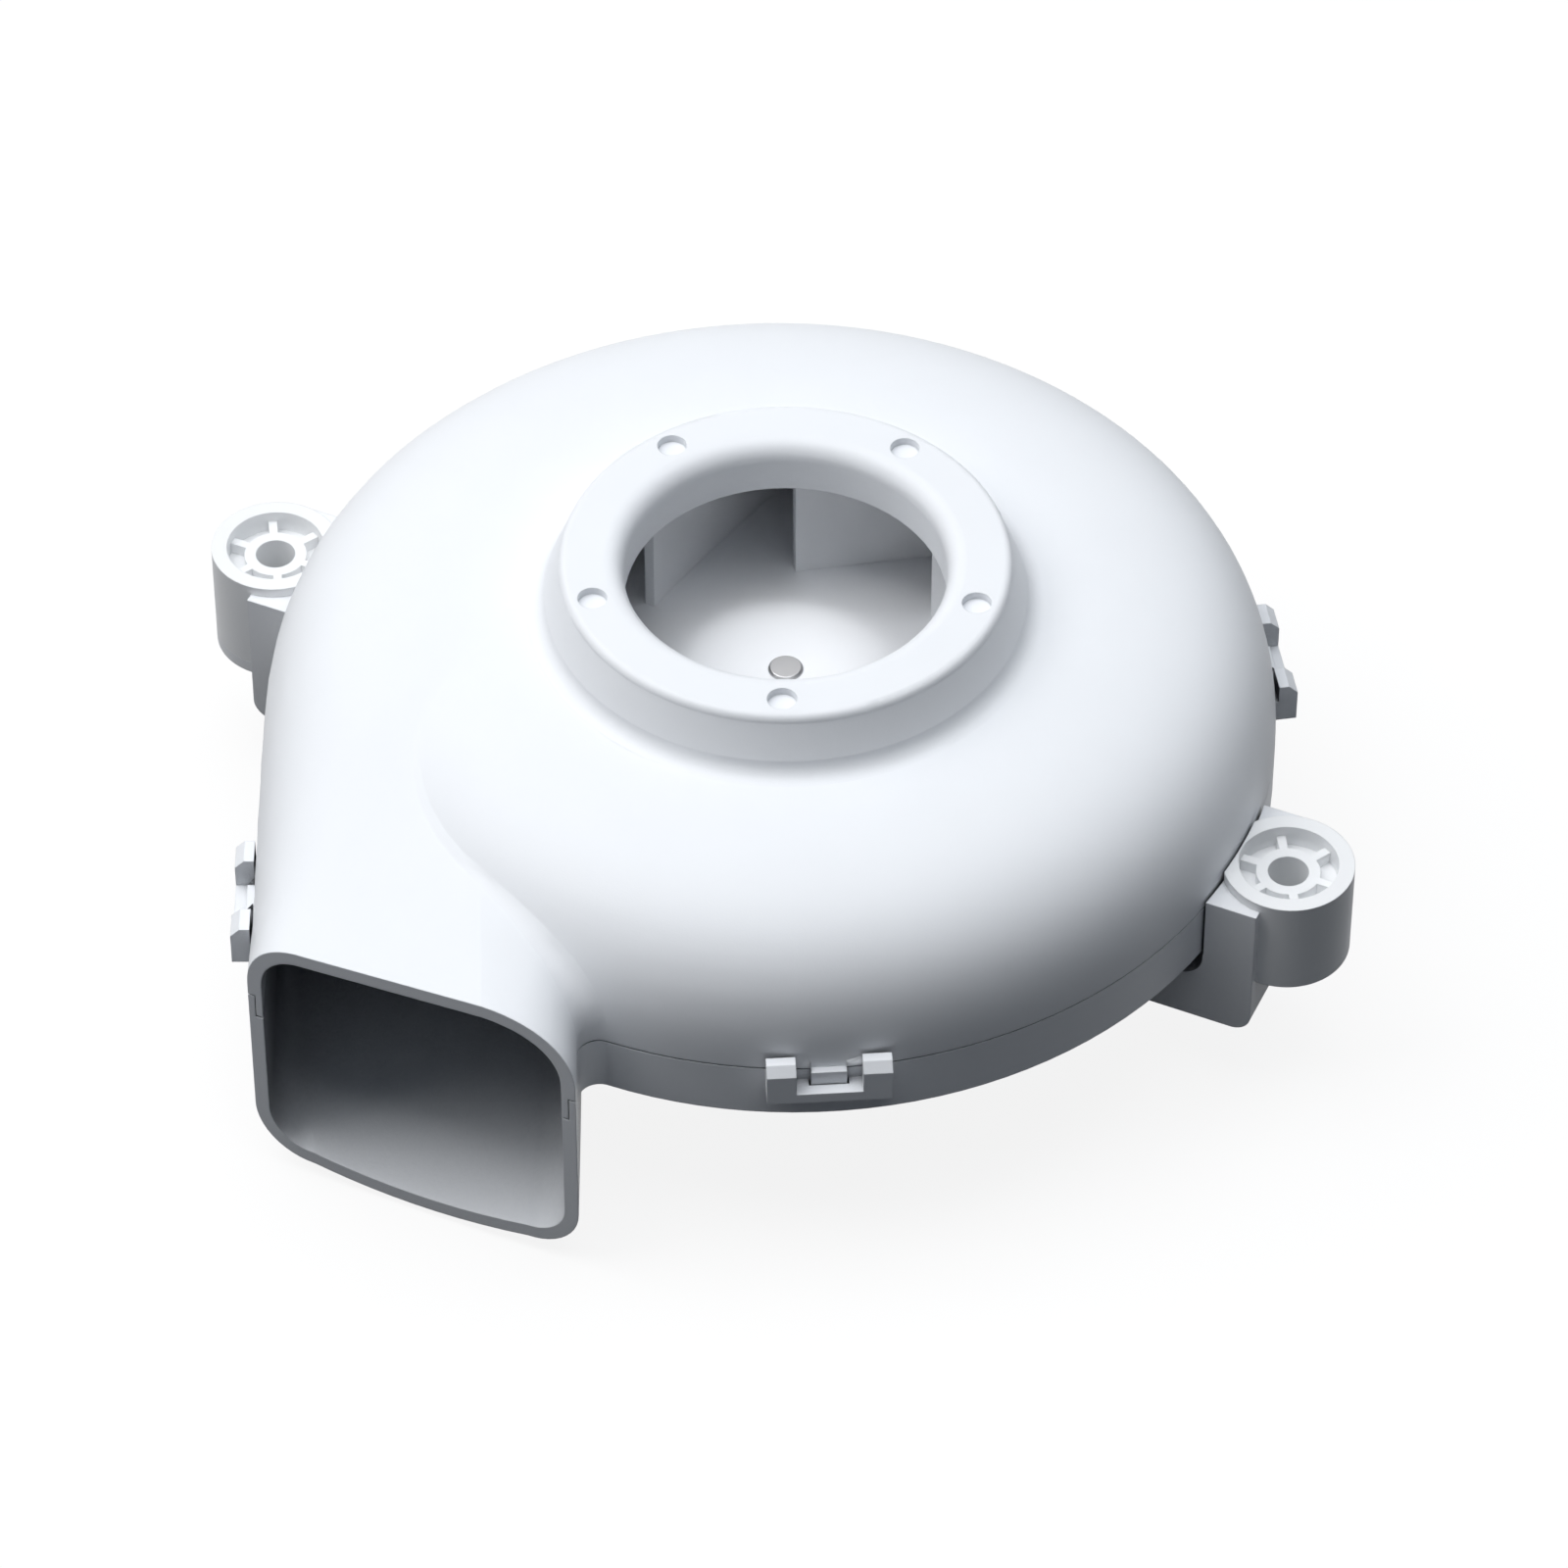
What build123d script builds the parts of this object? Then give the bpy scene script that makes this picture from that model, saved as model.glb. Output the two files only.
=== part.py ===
"""Centrifugal blower of a vacuum cleaner: a two-part scroll housing with an open inlet collar,
a bladed impeller, an outer-rotor motor in a well under the floor, and two sprung ears.

The origin is on the impeller axis, in the plane that the blower rests on. +Z points out of the
inlet. The outlet face looks along -Y, and the two ears lie on the X axis.
"""
import os
from math import cos, radians, sin

from build123d import *

# Heights above the resting plane, from the floor of the scroll to the top of the collar
floor_height = 25.2
parting_height = 34.0
shell_top_height = 57.5
collar_top_height = 66.5

# Scroll: its wall is four quarter circles, each one step larger than the one before
scroll_front_radius = 69.8
scroll_step = 2.15
shoulder_width = 31.2
shoulder_fullness = 0.71
wall = 2.2

# Outlet duct, seen across its length: the side walls run straight and the mouth is cut on a skew
outlet_skew = 24.0
mouth_distance = 80.3
duct_left = scroll_front_radius + 2 * scroll_step + scroll_step / 2
duct_width = 46.2
mouth_top_left = 45.5
mouth_top_right = 47.4
mouth_bottom = 1.2
mouth_belly = 1.6
mouth_left_shoulder = (9.0, 9.0)
mouth_right_shoulder = (14.0, 11.0)
mouth_lower_left_round = 9.0
mouth_lower_right_round = 8.0
duct_edge_round = 1.0
duct_sections = 4
valley_round = 3.0

# Lap joint between the shells and the snap clips across it
lap_height = 4.0
fit_gap = 0.1
clip_width = 17.5
clip_post_width = 4.1
clip_depth = 2.9
clip_slope = 1.3
clip_rise = 2.9
clip_bar_drop = 1.9
clip_bar_height = 1.7
clip_root = 0.8
clip_gap = 0.15
tongue_width = 5.0
tongue_depth = 0.9
hook_depth = 0.7
hook_height = 1.2
clip_angles = (-86.0, 9.0, 92.0, 135.0)
clip_on_duct = 36.0

# Inlet collar: a hollow ring that stands on the shell, with five blind dimples
inlet_radius = 23.0
inlet_lip_round = 2.8
throat_depth = 8.1
collar_radius = 32.3
collar_foot_radius = 34.4
collar_foot_round = 2.5
collar_edge_round = 1.2
dimple_count = 5
dimple_circle_radius = 28.5
dimple_radius = 2.1
dimple_depth = 1.2
dimple_start_angle = 5.0

# Ears: two spoked bushes in cradles on arms that are screwed under the floor
ear_spacing = 160.4
ear_centre_x = -2.2
bush_radius = 9.4
bush_height = 15.7
bush_top_height = 37.0
bush_wall = 2.3
bush_hub_radius = 4.6
bush_hole_radius = 2.9
bush_recess = 1.7
bush_web = 2.2
spoke_count = 6
spoke_width = 1.3
cradle_inner_reach = 8.4
cradle_outer_reach = -0.7
left_cradle_floor = 2.0
cradle_half_width = 10.7
cradle_top_drop = 1.5
cradle_round = 3.0
crook_round = 4.0
arm_bottom_height = 12.0
arm_top_height = 20.0
arm_inner_radius = 44.0
arm_screw_reach = 52.0
arm_screw_offset = 6.0
ear_gap = 0.4

# Motor well under the floor, and its cover
well_radius = 40.2
rotor_opening_radius = 26.5
cover_thickness = 2.0
cover_spigot_depth = 3.0
cover_spigot_wall = 1.8
cover_pad_radius = 4.6
screw_sink = 0.4
vent_count = 9
vent_inner_radius = 17.0
vent_outer_radius = 27.0
vent_width = 3.2

# Shaft, bearings and motor
shaft_radius = 2.5
shaft_top_height = 44.9
shaft_bottom_height = 8.6
shaft_chamfer = 0.3
bearing_radius = 6.5
bearing_width = 4.0
bearing_ring_wall = 1.1
ring_chamfer = 0.25
shield_thickness = 0.3
shield_gap = 0.3
lower_bearing_height = 13.5
upper_bearing_height = 23.4
tube_wall = 1.8
base_height = 10.0
base_thickness = 2.0
lightening_length = 16.0
lightening_width = 7.0
press_gap = 0.02
stator_bottom_height = 16.0
stator_thickness = 9.0
stator_radius = 19.6
stator_hub_radius = 11.4
tooth_count = 9
tooth_width = 3.0
tooth_tip_depth = 1.5
slot_opening = 2.2
insulator_thickness = 0.8
coil_thickness = 1.6
coil_gap = 0.12
air_gap = 0.6
magnet_thickness = 2.4
magnet_height = 13.0
cup_wall = 1.4
cup_top_height = 31.0
cup_boss_radius = 5.0
cup_hole_count = 6
cup_hole_radius = 2.2
retainer_radius = 3.5
retainer_thickness = 0.6
retainer_groove_depth = 0.5
washer_thickness = 0.5

# Circuit board and connector under the motor
board_radius = 29.0
board_thickness = 1.6
board_top_height = 7.0
standoff_circle_radius = 24.0
standoff_radius = 2.4
connector_size = (13.0, 7.0)
connector_wall = 1.0
connector_bottom_height = 0.6
connector_position = (0.0, -21.5)
pin_count = 5
pin_pitch = 2.0
pin_width = 0.64
chips = (
    ((13.0, 9.0), (7.0, 7.0), 1.1),
    ((-14.0, -6.0), (5.0, 4.0), 1.4),
    ((-14.0, 2.0), (5.0, 4.0), 1.4),
    ((-12.0, 10.0), (5.0, 4.0), 1.4),
    ((17.0, -4.0), (6.0, 3.2), 0.9),
)
capacitor_points = ((8.0, -11.5), (-8.0, -11.5))
capacitor_radius = 3.0
capacitor_height = 3.0

# Screws
screw_radius = 1.5
screw_head_radius = 2.8
screw_head_height = 2.2
small_screw_radius = 1.0
small_head_radius = 1.9
small_head_height = 1.3
screw_gap = 0.05
boss_radius = 3.4
screw_circle_radius = 35.0
screw_reach = 9.0

# Impeller
impeller_radius = 56.0
blade_count = 8
blade_inner_radius = 29.4
blade_thickness = 1.6
blade_entry_angle = 15.0
blade_sweep = 47.0
blade_top_height = 54.0
blade_tip_height = 50.4
blade_top_turn_radius = 44.0
blade_phase = 87.5
hub_top_height = 44.4
hub_flat_radius = 6.5
dish_radius = 30.0
dish_height = 36.2
rim_height = 34.6
plate_thickness = 1.8
insert_radius = 4.4
insert_height = 10.0
hub_radius = 7.5
hub_bottom_height = 31.6

# Derived values shared by the pieces
cover_pad_height = cover_thickness + cover_spigot_depth
well_bottom_height = cover_thickness
well_bore = well_radius - wall
shell_floor_top = floor_height + wall
shell_roof = shell_top_height - wall
bush_bottom_height = bush_top_height - bush_height
scroll = Plane.XY.rotated((0, 0, outlet_skew))
fan_x = -(mouth_distance - scroll_step / 2 * cos(radians(outlet_skew))) / sin(radians(outlet_skew))

os.makedirs("parts", exist_ok=True)


def place(x, y, z=0.0):
    """A point given along and across the duct, in the part's frame."""
    return scroll.from_local_coords(Vector(x, y, z))


def upright(x, y, angle):
    """An upright plane through a point of the scroll's own axes, whose x runs out at an angle."""
    out = place(cos(radians(angle)), sin(radians(angle))) - place(0, 0)
    side = out.cross(Vector(0, 0, 1))
    return Plane(origin=place(x, y), x_dir=out, z_dir=side)


def quarters():
    """Centre, radius and start angle of each quarter of the scroll, from tongue to duct."""
    half = scroll_step / 2
    centres = ((half, -half), (half, half), (-half, half), (-half, -half))
    for index, centre in enumerate(centres):
        yield centre, scroll_front_radius + (index - 1) * scroll_step, 90.0 * (index - 2)


def write(piece, name):
    """Labels one finished piece and writes it."""
    piece.part.label = name
    export_step(piece.part, f"parts/{name}.step")


def mix(start, end, share):
    """A value part of the way from one size to another."""
    return start + (end - start) * share


def duct_section(share, inset):
    """The duct's outline at a share of its length, on planes that fan from square to the skew."""
    angle = radians(outlet_skew * share)
    ease = share**2 * (3 - 2 * share)
    along = place(cos(angle), -sin(angle)) - place(0, 0)
    plane = Plane(place(fan_x, -scroll_step / 2), x_dir=along, z_dir=along.cross(Vector(0, 0, 1)))
    left = (-duct_left - fan_x) / cos(angle) + inset
    right = (duct_width - duct_left - fan_x) / cos(angle) - inset
    sag = mouth_belly * ease
    base = mix(floor_height, mouth_bottom + sag, ease) + inset
    top_left = mix(shell_top_height, mouth_top_left, ease) - inset
    top_right = mix(shell_top_height, mouth_top_right, ease) - inset
    left_width = mix(shoulder_width, mouth_left_shoulder[0], share) - inset
    left_height = mix(shell_top_height - parting_height, mouth_left_shoulder[1], share) - inset
    right_width = mouth_right_shoulder[0] - inset
    right_height = mouth_right_shoulder[1] - inset
    left_round = max(mix(duct_edge_round, mouth_lower_left_round, share) - inset, duct_edge_round)
    right_round = max(mix(duct_edge_round, mouth_lower_right_round, share) - inset, duct_edge_round)
    full = mix(shoulder_fullness, 0.6, share)
    with BuildSketch(plane) as outline:
        with BuildLine():
            Line((left, base + left_round), (left, top_left - left_height))
            Bezier(
                (left, top_left - left_height),
                (left, top_left - left_height * (1 - full)),
                (left + left_width * (1 - full), top_left),
                (left + left_width, top_left),
            )
            Line((left + left_width, top_left), (right - right_width, top_right))
            Bezier(
                (right - right_width, top_right),
                (right - right_width * (1 - full), top_right),
                (right, top_right - right_height * (1 - full)),
                (right, top_right - right_height),
            )
            Line((right, top_right - right_height), (right, base + right_round))
            RadiusArc((right, base + right_round), (right - right_round, base), right_round)
            Bezier(
                (right - right_round, base),
                ((left + right) / 2, base - sag * 2),
                (left + left_round, base),
            )
            RadiusArc((left + left_round, base), (left, base + left_round), left_round)
        make_face()
    return outline.sketch


def in_valley(edge):
    """Whether an edge is part of the line where the duct's roof meets the scroll's shoulder."""
    middle = scroll.to_local_coords(edge @ 0.5)
    beside_tongue = -duct_left + wall < middle.X < duct_width - duct_left + wall
    ahead = scroll_step < -middle.Y < scroll_front_radius
    near = (middle.X**2 + middle.Y**2) ** 0.5 < scroll_front_radius - scroll_step - wall
    above = middle.Z > parting_height + wall
    return edge.geom_type == GeomType.BSPLINE and beside_tongue and ahead and near and above


def scroll_volume(inset, past_mouth=0.0, valley=valley_round):
    """The scroll and its duct as one solid, shrunk by an inset on every side."""
    low = floor_height + inset
    high = shell_top_height - inset
    rise = high - parting_height
    with BuildPart() as solid:
        for centre, radius, start in quarters():
            crown = radius - shoulder_width
            reach = radius - inset
            with BuildSketch(upright(*centre, start)):
                with BuildLine():
                    Polyline((crown, high), (0, high), (0, low), (reach, low), (reach, parting_height))
                    Bezier(
                        (reach, parting_height),
                        (reach, parting_height + rise * shoulder_fullness),
                        (crown + (reach - crown) * shoulder_fullness, high),
                        (crown, high),
                    )
                make_face()
            revolve(axis=Axis(place(*centre), (0, 0, 1)), revolution_arc=90)
        with BuildSketch(Plane.XY.offset(low)):
            Circle(scroll_step)
        extrude(amount=high - low)
        loft(sections=[duct_section(step / (duct_sections - 1), inset) for step in range(duct_sections)])
        if valley:
            fillet([edge for edge in solid.edges() if in_valley(edge)], radius=valley)
        if past_mouth:
            extrude(duct_section(1, inset), amount=past_mouth)
    return solid.part


def slab(solid, low, high):
    """The slice of a solid between two heights."""
    with BuildPart() as piece:
        add(solid)
        split(bisect_by=Plane.XY.offset(low), keep=Keep.TOP)
        split(bisect_by=Plane.XY.offset(high), keep=Keep.BOTTOM)
    return piece.part


def clip_planes(height):
    """A level plane on the wall at each snap clip, its x along the wall and its y outward."""
    spots = [(-duct_left, -clip_on_duct, 180.0)]
    for angle in clip_angles:
        (x, y), radius, _ = list(quarters())[int((angle + 180) // 90)]
        turn = radians(angle)
        spots.append((x + radius * cos(turn), y + radius * sin(turn), angle))
    for x, y, angle in spots:
        out = place(cos(radians(angle)), sin(radians(angle))) - place(0, 0)
        yield Plane(place(x, y, height), x_dir=out.cross(Vector(0, 0, 1)), z_dir=(0, 0, 1))


def ring_points(radius, count, start, sweep=360.0):
    """Points on a circle about the axis."""
    step = sweep / count
    return [
        (radius * cos(radians(start + index * step)), radius * sin(radians(start + index * step)))
        for index in range(count)
    ]


def tube(inner, outer, low, high):
    """A plain ring about the axis between two heights."""
    with BuildPart() as ring:
        with BuildSketch(Plane.XY.offset(low)):
            Circle(outer)
            Circle(inner, mode=Mode.SUBTRACT)
        extrude(amount=high - low)
    return ring


def screws(name, points, seat, tip, shank, head, head_height):
    """A set of like screws that point up, each with its head under its seat."""
    with BuildPart() as group:
        with BuildSketch(Plane.XY.offset(seat - head_height)):
            with Locations(*points):
                Circle(head)
        extrude(amount=head_height)
        chamfer(group.faces().group_by(Axis.Z)[0].edges(), length=head_height / 4)
        with BuildSketch(Plane.XY.offset(seat)):
            with Locations(*points):
                Circle(shank)
        extrude(amount=tip - seat)
    write(group, name)


# Housing volumes: the outside, the air space, and the two sides of the lap between the shells
outside = scroll_volume(0)
air_space = scroll_volume(wall, past_mouth=wall)
skirt_space = scroll_volume(wall / 2 + fit_gap / 2)
lip_space = scroll_volume(wall / 2 - fit_gap / 2)
lap_bottom = parting_height - lap_height


# Upper shell: crowned half of the scroll with the inlet collar, a skirt and the snap tongues
hook_top = parting_height - clip_bar_drop - clip_bar_height - clip_gap
with BuildPart() as top_shell:
    add(slab(outside, parting_height, shell_top_height))
    add(slab(skirt_space, lap_bottom, parting_height) & outside)
    with BuildSketch(Plane.XZ):
        with BuildLine():
            lip = inlet_radius + inlet_lip_round
            edge = collar_radius - collar_edge_round
            under_edge = collar_top_height - collar_edge_round
            foot = shell_top_height + collar_foot_round
            spread = collar_foot_radius + collar_foot_round
            Line((inlet_radius, shell_roof), (inlet_radius, collar_top_height - inlet_lip_round))
            RadiusArc((inlet_radius, collar_top_height - inlet_lip_round), (lip, collar_top_height),
                      inlet_lip_round)
            Line((lip, collar_top_height), (edge, collar_top_height))
            RadiusArc((edge, collar_top_height), (collar_radius, under_edge), collar_edge_round)
            Line((collar_radius, under_edge), (collar_foot_radius, foot))
            RadiusArc((collar_foot_radius, foot), (spread, shell_top_height), -collar_foot_round)
            Polyline((spread, shell_top_height), (spread, shell_roof), (inlet_radius, shell_roof))
        make_face()
    revolve(axis=Axis.Z)
    for plane in clip_planes(parting_height):
        with BuildSketch(plane):
            with Locations((0, -clip_root)):
                depth = clip_root + clip_gap + tongue_depth
                Rectangle(tongue_width, depth, align=(Align.CENTER, Align.MIN))
        extrude(amount=clip_rise)
        with BuildSketch(plane.offset(hook_top - parting_height)):
            with Locations((0, clip_gap)):
                Rectangle(tongue_width, tongue_depth, align=(Align.CENTER, Align.MIN))
        extrude(amount=parting_height - hook_top)
        with BuildSketch(plane.offset(hook_top - parting_height - hook_height)):
            with Locations((0, clip_gap)):
                Rectangle(tongue_width, tongue_depth + hook_depth, align=(Align.CENTER, Align.MIN))
        extrude(amount=hook_height)
    add(air_space, mode=Mode.SUBTRACT)
    with BuildSketch(Plane.XY.offset(shell_roof)):
        Circle(inlet_radius)
    extrude(amount=collar_top_height - shell_roof, mode=Mode.SUBTRACT)
    with BuildSketch(Plane.XZ):
        with BuildLine():
            throat_bottom = collar_top_height - throat_depth
            Polyline(
                (0, shell_roof), (0, throat_bottom), (inlet_radius + wall, throat_bottom),
                (inlet_radius + wall, collar_top_height - wall),
                (collar_radius - wall, collar_top_height - wall),
                (collar_foot_radius - wall, shell_roof),
                close=True,
            )
        make_face()
    revolve(axis=Axis.Z, mode=Mode.SUBTRACT)
    with BuildSketch(Plane.XY.offset(collar_top_height)):
        with Locations(*ring_points(dimple_circle_radius, dimple_count, dimple_start_angle)):
            Circle(dimple_radius)
    extrude(amount=-dimple_depth, mode=Mode.SUBTRACT)
write(top_shell, "top_shell")

# Lower shell: straight walls, the floor, the duct's floor, the motor well and the clip brackets
base_top_height = base_height + base_thickness
motor_points = ring_points(screw_circle_radius, 3, 90.0)
cover_points = ring_points(screw_circle_radius, 3, 30.0)
arm_points = [(sign * arm_screw_reach, side * arm_screw_offset) for sign in (1, -1) for side in (1, -1)]
with BuildPart() as well_core:
    Cylinder(well_radius, shell_floor_top, align=(Align.CENTER, Align.CENTER, Align.MIN))
with BuildPart() as bottom_shell:
    add(slab(outside, -wall, parting_height))
    with BuildSketch(Plane.XY.offset(well_bottom_height)):
        Circle(well_radius)
    extrude(amount=floor_height - well_bottom_height)
    add(air_space - well_core.part, mode=Mode.SUBTRACT)
    add(slab(lip_space, lap_bottom - fit_gap, parting_height), mode=Mode.SUBTRACT)
    with BuildSketch(Plane.XY.offset(well_bottom_height)):
        Circle(well_bore)
    extrude(amount=floor_height - well_bottom_height, mode=Mode.SUBTRACT)
    with BuildSketch(Plane.XY.offset(base_top_height)):
        with Locations(*motor_points):
            Circle(boss_radius)
    extrude(amount=floor_height - base_top_height)
    with BuildSketch(Plane.XY.offset(cover_pad_height)):
        with Locations(*cover_points):
            Circle(boss_radius)
    extrude(amount=floor_height - cover_pad_height)
    with BuildSketch(Plane.XY.offset(arm_top_height)):
        with Locations(*arm_points):
            Circle(boss_radius)
    extrude(amount=floor_height - arm_top_height)
    with BuildSketch(Plane.XY.offset(floor_height)):
        Circle(rotor_opening_radius)
    extrude(amount=wall, mode=Mode.SUBTRACT)
    with BuildSketch(Plane.XY):
        with Locations(*motor_points, *cover_points, *arm_points):
            Circle(screw_radius + screw_gap)
    extrude(amount=floor_height + wall / 2, mode=Mode.SUBTRACT)
    for plane in clip_planes(parting_height):
        ledge_bottom = -clip_bar_drop - clip_bar_height
        for end in (-clip_width / 2, clip_width / 2 - clip_post_width):
            start = plane.from_local_coords(Vector(end, 0, 0))
            with BuildSketch(Plane(start, x_dir=plane.y_dir, z_dir=plane.x_dir)):
                with BuildLine():
                    Polyline(
                        (-clip_root, 0), (-clip_root, ledge_bottom), (clip_depth, ledge_bottom),
                        (clip_depth, clip_rise - clip_slope), (clip_depth - clip_slope, clip_rise),
                        (clip_gap, clip_rise), (clip_gap, 0), close=True,
                    )
                make_face()
            extrude(amount=clip_post_width)
        with BuildSketch(plane.offset(ledge_bottom)):
            beside_wall = (Align.CENTER, Align.MIN)
            with Locations((0, -clip_root)):
                Rectangle(clip_width - clip_post_width, clip_root + clip_depth, align=beside_wall)
            slot_width = tongue_width + 4 * clip_gap
            slot_depth = tongue_depth + 2 * clip_gap
            Rectangle(slot_width, slot_depth, align=beside_wall, mode=Mode.SUBTRACT)
        extrude(amount=clip_bar_height)
write(bottom_shell, "bottom_shell")

# Cover that closes the motor well from below, with cooling slots and the connector's window
cover_seat_height = screw_head_height + screw_sink
with BuildPart() as motor_cover:
    with BuildSketch(Plane.XY):
        Circle(well_radius)
    extrude(amount=cover_thickness)
    with BuildSketch(Plane.XY.offset(cover_thickness)):
        Circle(well_bore - fit_gap)
        Circle(well_bore - fit_gap - cover_spigot_wall, mode=Mode.SUBTRACT)
    extrude(amount=cover_spigot_depth)
    with BuildSketch(Plane.XY.offset(cover_thickness)):
        with Locations(*cover_points):
            Circle(cover_pad_radius)
        Circle(well_bore - fit_gap, mode=Mode.INTERSECT)
    extrude(amount=cover_spigot_depth)
    with BuildSketch(Plane.XY):
        vent_middle = (vent_inner_radius + vent_outer_radius) / 2
        with PolarLocations(vent_middle, vent_count, -30, 240, endpoint=True):
            SlotOverall(vent_outer_radius - vent_inner_radius, vent_width)
        with Locations(connector_position):
            Rectangle(connector_size[0] + fit_gap * 4, connector_size[1] + fit_gap * 4)
    extrude(amount=cover_thickness, mode=Mode.SUBTRACT)
    with BuildSketch(Plane.XY):
        with Locations(*cover_points):
            Circle(screw_head_radius + screw_sink)
    extrude(amount=cover_seat_height, mode=Mode.SUBTRACT)
    with BuildSketch(Plane.XY):
        with Locations(*cover_points):
            Circle(screw_radius + screw_gap)
    extrude(amount=cover_pad_height, mode=Mode.SUBTRACT)
write(motor_cover, "motor_cover")
screws("cover_screws", cover_points, cover_seat_height, cover_pad_height + screw_reach,
       screw_radius, screw_head_radius, screw_head_height)

# Motor base: a plate screwed under the floor bosses, with the bearing tube and the board's posts
tube_radius = bearing_radius + tube_wall
tube_top_height = upper_bearing_height + bearing_width + 1.0
retainer_room = bearing_radius - bearing_ring_wall
with BuildPart() as motor_base:
    with BuildSketch(Plane.XY.offset(base_height)):
        Circle(well_bore - fit_gap * 3)
        with Locations(*cover_points):
            Circle(boss_radius + fit_gap * 4, mode=Mode.SUBTRACT)
        with Locations(*motor_points):
            Circle(screw_radius + screw_gap, mode=Mode.SUBTRACT)
        with PolarLocations(standoff_circle_radius, 3, 150):
            SlotOverall(lightening_length, lightening_width, rotation=90, mode=Mode.SUBTRACT)
    extrude(amount=base_thickness)
    with BuildSketch(Plane.XY.offset(base_height)):
        Circle(tube_radius)
    extrude(amount=tube_top_height - base_height)
    with BuildSketch(Plane.XY.offset(base_top_height)):
        Circle(stator_hub_radius)
    extrude(amount=stator_bottom_height - insulator_thickness - base_top_height)
    with BuildSketch(Plane.XY.offset(board_top_height)):
        with Locations(*ring_points(standoff_circle_radius, 3, 90.0)):
            Circle(standoff_radius)
    extrude(amount=base_height - board_top_height)
    with BuildSketch(Plane.XY.offset(board_top_height)):
        with Locations(*ring_points(standoff_circle_radius, 3, 90.0)):
            Circle(small_screw_radius + screw_gap)
    extrude(amount=base_height - board_top_height, mode=Mode.SUBTRACT)
    with BuildSketch(Plane.XY.offset(lower_bearing_height)):
        Circle(bearing_radius + press_gap)
    extrude(amount=tube_top_height - lower_bearing_height, mode=Mode.SUBTRACT)
    with BuildSketch(Plane.XY.offset(base_height)):
        Circle(retainer_room)
    extrude(amount=lower_bearing_height - base_height, mode=Mode.SUBTRACT)
write(motor_base, "motor_base")
screws("motor_screws", motor_points, base_height, base_top_height + screw_reach,
       screw_radius, screw_head_radius, screw_head_height)

# Bearings: each outer ring with its shields stays in the tube, each inner ring turns on the shaft
shaft_hole_radius = shaft_radius + press_gap
inner_ring_radius = shaft_radius + bearing_ring_wall
for level, height in (("lower", lower_bearing_height), ("upper", upper_bearing_height)):
    with BuildPart() as outer_ring:
        with BuildSketch(Plane.XY.offset(height)):
            Circle(bearing_radius)
            Circle(inner_ring_radius + shield_gap, mode=Mode.SUBTRACT)
        extrude(amount=bearing_width)
        with BuildSketch(Plane.XY.offset(height + shield_thickness)):
            Circle(bearing_radius - bearing_ring_wall)
        extrude(amount=bearing_width - 2 * shield_thickness, mode=Mode.SUBTRACT)
        chamfer(outer_ring.edges().filter_by(GeomType.CIRCLE).sort_by(SortBy.RADIUS)[-2:], ring_chamfer)
    write(outer_ring, f"{level}_bearing_outer_ring")
    inner_ring = tube(shaft_hole_radius, inner_ring_radius, height, height + bearing_width)
    write(inner_ring, f"{level}_bearing_inner_ring")
lower_bearing_top = lower_bearing_height + bearing_width
spacer = tube(bearing_radius - bearing_ring_wall, bearing_radius, lower_bearing_top, upper_bearing_height)
write(spacer, "bearing_spacer")


def tooth_outline(tip, gap):
    """The core's outline: a hub, straight teeth and curved tips parted by the slots."""
    with BuildSketch() as outline:
        Circle(tip)
        Circle(tip - tooth_tip_depth, mode=Mode.SUBTRACT)
        with PolarLocations(tip - tooth_tip_depth / 2, tooth_count, 180 / tooth_count):
            Rectangle(tooth_tip_depth * 2, gap, mode=Mode.SUBTRACT)
        Circle(stator_hub_radius)
        with PolarLocations((stator_hub_radius + tip - tooth_tip_depth) / 2, tooth_count):
            Rectangle(tip - tooth_tip_depth - stator_hub_radius + 1.0, tooth_width)
        Circle(tube_radius + press_gap, mode=Mode.SUBTRACT)
    return outline.sketch


# Stator: a laminated core with wide tooth tips, capped by insulators, with a coil on each tooth
stator_top_height = stator_bottom_height + stator_thickness
with BuildPart() as stator_core:
    with BuildSketch(Plane.XY.offset(stator_bottom_height)):
        add(tooth_outline(stator_radius, slot_opening))
    extrude(amount=stator_thickness)
write(stator_core, "stator_core")
for name, height in (
    ("upper_insulator", stator_top_height),
    ("lower_insulator", stator_bottom_height - insulator_thickness),
):
    with BuildPart() as insulator:
        with BuildSketch(Plane.XY.offset(height)):
            add(tooth_outline(stator_radius - fit_gap * 3, slot_opening + fit_gap * 4))
        extrude(amount=insulator_thickness)
    write(insulator, name)
coil_inner_radius = stator_hub_radius + coil_gap
coil_outer_radius = stator_radius - tooth_tip_depth - coil_gap * 6
coil_window_height = stator_thickness + 2 * (insulator_thickness + coil_gap)
coil_window_width = tooth_width + 2 * coil_gap
coil_middle_height = stator_bottom_height + stator_thickness / 2
with BuildPart() as stator_coils:
    for index in range(tooth_count):
        turn = 360 / tooth_count * index
        face_out = Vector(1, 0, 0).rotate(Axis.Z, turn)
        start = face_out * coil_inner_radius + Vector(0, 0, coil_middle_height)
        with BuildSketch(Plane(start, x_dir=(0, 0, 1), z_dir=face_out)):
            RectangleRounded(coil_window_height + 2 * coil_thickness,
                             coil_window_width + 2 * coil_thickness, coil_thickness)
            Rectangle(coil_window_height, coil_window_width, mode=Mode.SUBTRACT)
        extrude(amount=coil_outer_radius - coil_inner_radius)
write(stator_coils, "stator_coils")

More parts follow.
